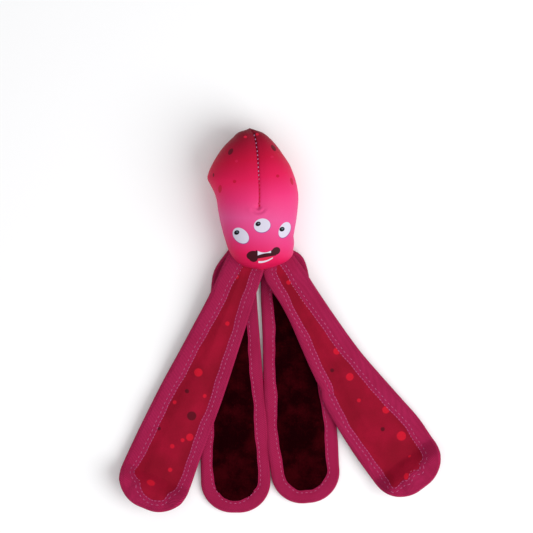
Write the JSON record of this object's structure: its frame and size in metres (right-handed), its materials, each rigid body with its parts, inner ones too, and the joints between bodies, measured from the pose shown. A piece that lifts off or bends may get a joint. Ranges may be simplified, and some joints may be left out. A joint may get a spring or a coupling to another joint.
{
  "type": "soft tentacled dog toy",
  "caption": "Stuffed three-eyed monster head with a squeaker, and flat bound cloth arms with crackle film that flap up and curl.",
  "frame": {"origin": "middle of the patch that the back of the head rests on", "axes": "+Z out of the face, +Y towards the crown, arms run towards -Y, +X to the right as seen looking down on the face"},
  "size_m": [0.2341, 0.2795, 0.0494],
  "materials": {
    "printed_stretch": "printed smooth stretch polyester, satin",
    "printed_panel": "printed plain-weave polyester, matt",
    "velour": "short-pile velour",
    "binding_tape": "twill-woven polyester tape, matt",
    "thread": "polyester sewing thread",
    "pale_thread": "pale lilac sewing thread",
    "crackle_film": "thin clear crackle film",
    "fibre_fill": "polyester fibre fill",
    "squeaker_plastic": "soft natural plastic"
  },
  "bodies": {
    "head": {"head_front_panel": "printed_stretch", "head_back_panel": "printed_stretch", "head_base_panel": "printed_stretch", "head_side_seam_thread": "thread", "head_dart_thread": "pale_thread", "head_stuffing": "fibre_fill", "squeaker_cup": "squeaker_plastic", "squeaker_whistle": "squeaker_plastic", "squeaker_reed": "squeaker_plastic", "front_left_root": "binding_tape", "front_right_root": "binding_tape", "back_left_root": "binding_tape", "back_right_root": "binding_tape"},
    "squeaker_dome": {"squeaker_dome": "squeaker_plastic"},
    "front_left_upper": {"front_left_upper_printed_panel": "printed_panel", "front_left_upper_velour_panel": "velour", "front_left_upper_crackle_film": "crackle_film", "front_left_upper_binding": "binding_tape", "front_left_upper_thread": "thread"},
    "front_left_lower": {"front_left_lower_printed_panel": "printed_panel", "front_left_lower_velour_panel": "velour", "front_left_lower_crackle_film": "crackle_film", "front_left_lower_binding": "binding_tape", "front_left_lower_thread": "thread"},
    "front_right_upper": {"front_right_upper_printed_panel": "printed_panel", "front_right_upper_velour_panel": "velour", "front_right_upper_crackle_film": "crackle_film", "front_right_upper_binding": "binding_tape", "front_right_upper_thread": "thread"},
    "front_right_lower": {"front_right_lower_printed_panel": "printed_panel", "front_right_lower_velour_panel": "velour", "front_right_lower_crackle_film": "crackle_film", "front_right_lower_binding": "binding_tape", "front_right_lower_thread": "thread"},
    "back_left_upper": {"back_left_upper_printed_panel": "printed_panel", "back_left_upper_velour_panel": "velour", "back_left_upper_crackle_film": "crackle_film", "back_left_upper_binding": "binding_tape", "back_left_upper_thread": "thread"},
    "back_left_lower": {"back_left_lower_printed_panel": "printed_panel", "back_left_lower_velour_panel": "velour", "back_left_lower_crackle_film": "crackle_film", "back_left_lower_binding": "binding_tape", "back_left_lower_thread": "thread"},
    "back_right_upper": {"back_right_upper_printed_panel": "printed_panel", "back_right_upper_velour_panel": "velour", "back_right_upper_crackle_film": "crackle_film", "back_right_upper_binding": "binding_tape", "back_right_upper_thread": "thread"},
    "back_right_lower": {"back_right_lower_printed_panel": "printed_panel", "back_right_lower_velour_panel": "velour", "back_right_lower_crackle_film": "crackle_film", "back_right_lower_binding": "binding_tape", "back_right_lower_thread": "thread"}
  },
  "joints": [
    {"name": "squeeze", "type": "slide", "parent": "head", "child": "squeaker_dome", "axis": [0, 0, -1], "range_m": [0, 0.006], "stiffness_N_per_m": 400, "deforming": ["head_stuffing", "head_front_panel"]},
    {"name": "front_left_flap", "type": "hinge", "parent": "head", "child": "front_left_upper", "pos_m": [0, -0.05104, 0.016], "axis": [-1, 0, 0], "range_deg": [0, 95]},
    {"name": "front_left_curl", "type": "hinge", "parent": "front_left_upper", "child": "front_left_lower", "pos_m": [0, -0.131, 0.0067], "axis": [-1, 0, 0], "range_deg": [0, 90]},
    {"name": "front_right_flap", "type": "hinge", "parent": "head", "child": "front_right_upper", "pos_m": [0, -0.05104, 0.016], "axis": [-1, 0, 0], "range_deg": [0, 95]},
    {"name": "front_right_curl", "type": "hinge", "parent": "front_right_upper", "child": "front_right_lower", "pos_m": [0, -0.131, 0.0067], "axis": [-1, 0, 0], "range_deg": [0, 90]},
    {"name": "back_left_flap", "type": "hinge", "parent": "head", "child": "back_left_upper", "pos_m": [0, -0.046, 0.0021], "axis": [-1, 0, 0], "range_deg": [0, 47.5]},
    {"name": "back_left_curl", "type": "hinge", "parent": "back_left_upper", "child": "back_left_lower", "pos_m": [0, -0.1925, 0.0021], "axis": [-1, 0, 0], "range_deg": [0, 90]},
    {"name": "back_right_flap", "type": "hinge", "parent": "head", "child": "back_right_upper", "pos_m": [0, -0.046, 0.0021], "axis": [-1, 0, 0], "range_deg": [0, 47.5]},
    {"name": "back_right_curl", "type": "hinge", "parent": "back_right_upper", "child": "back_right_lower", "pos_m": [0, -0.1925, 0.0021], "axis": [-1, 0, 0], "range_deg": [0, 90]}
  ],
  "couplings": [
    {"joint": "back_left_flap", "follows": "front_left_flap", "ratio": 0.5},
    {"joint": "back_right_flap", "follows": "front_right_flap", "ratio": 0.5}
  ]
}
